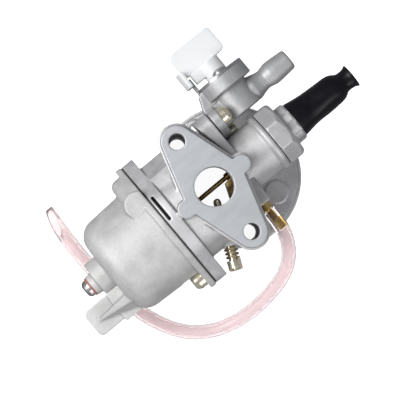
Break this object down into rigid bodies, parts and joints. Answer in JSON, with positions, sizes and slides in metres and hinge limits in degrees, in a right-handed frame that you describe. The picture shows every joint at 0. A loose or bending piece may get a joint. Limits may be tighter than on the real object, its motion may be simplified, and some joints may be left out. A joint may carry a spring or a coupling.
{
  "type": "carburetor",
  "caption": "Small float-bowl carburetor with sliding throttle, two-bolt flange, lever petcock, idle screw, rubber cable boot and a limp vent hose",
  "frame": {"origin": "centre of the main bore at the air-filter face, the face it lies on", "axes": "+Z along the bore to the engine face, +Y up the throttle slide to the cap, +X towards the vent nipple"},
  "size_m": [0.0858, 0.12, 0.044],
  "materials": {
    "cast_aluminium": "fine blasted casting",
    "petcock_casting": "zinc die casting, satin",
    "brass": "turned, satin",
    "zinc_steel": "yellow zinc plate",
    "steel": "bright zinc plate",
    "spring_steel": "spring wire",
    "black_rubber": "moulded rubber",
    "white_plastic": "moulded nylon",
    "float_plastic": "moulded float",
    "red_fibre": "fibre washer",
    "gasket": "gasket sheet",
    "pink_hose": "clear pink vinyl"
  },
  "bodies": {
    "carburetor_body": {"carb_body": "cast_aluminium", "float_bowl": "cast_aluminium", "barrel_cap": "cast_aluminium", "adjuster_locknut": "cast_aluminium", "petcock_housing": "petcock_casting", "cover_plate": "steel", "cover_screws": "steel", "petcock_seal": "black_rubber", "wave_washer": "spring_steel", "petcock_gasket": "gasket", "petcock_screws": "zinc_steel", "petcock_spring_washers": "zinc_steel", "return_spring": "spring_steel", "cap_seal": "black_rubber", "cable_adjuster": "zinc_steel", "cable_boot": "black_rubber", "bowl_gasket": "gasket", "bowl_screws": "zinc_steel", "bowl_spring_washers": "zinc_steel", "needle_jet": "brass", "main_jet": "brass", "float_valve_seat": "brass", "float_pin": "steel", "drain_screw": "steel", "drain_washer": "red_fibre", "idle_spring": "zinc_steel", "vent_nipple": "brass", "vent_hose": "pink_hose"},
    "throttle": {"throttle_slide": "brass", "jet_needle": "brass", "needle_clip": "spring_steel", "spring_seat": "white_plastic"},
    "float_needle": {"float_needle": "brass"},
    "float": {"float": "float_plastic"},
    "petcock_lever": {"petcock_lever": "white_plastic"},
    "idle_washer": {"idle_washer": "zinc_steel"},
    "idle_screw": {"idle_screw": "zinc_steel"}
  },
  "joints": [
    {"name": "throttle_lift", "type": "slide", "parent": "carburetor_body", "child": "throttle", "axis": [0, -1, 0], "range_m": [0, 0.009], "stiffness_N_per_m": 60, "springref_m": 0.03, "deforming": ["return_spring"]},
    {"name": "float_swing", "type": "hinge", "parent": "carburetor_body", "child": "float", "pos_m": [0, -0.022, 0.0136], "axis": [1, 0, 0], "range_deg": [-8, 0]},
    {"name": "float_valve", "type": "slide", "parent": "carburetor_body", "child": "float_needle", "axis": [0, 1, 0], "range_m": [0, 0.00057]},
    {"name": "petcock_turn", "type": "hinge", "parent": "carburetor_body", "child": "petcock_lever", "pos_m": [-0.03, 0.0253, 0.0246], "axis": [1, 0, 0], "range_deg": [0, 90]},
    {"name": "idle_advance", "type": "slide", "parent": "carburetor_body", "child": "idle_washer", "axis": [-0.9135, 0.4067, 0], "range_m": [-0.0007, 0.0014], "deforming": ["idle_spring"]},
    {"name": "idle_turn", "type": "hinge", "parent": "idle_washer", "child": "idle_screw", "pos_m": [0.02468, -0.01112, 0.0246], "axis": [-0.9135, 0.4067, 0], "range_deg": [-360, 720]}
  ],
  "couplings": [
    {"joint": "float_valve", "follows": "float_swing", "m_per_rad": -0.004},
    {"joint": "idle_turn", "follows": "idle_advance", "rad_per_m": 8976}
  ]
}
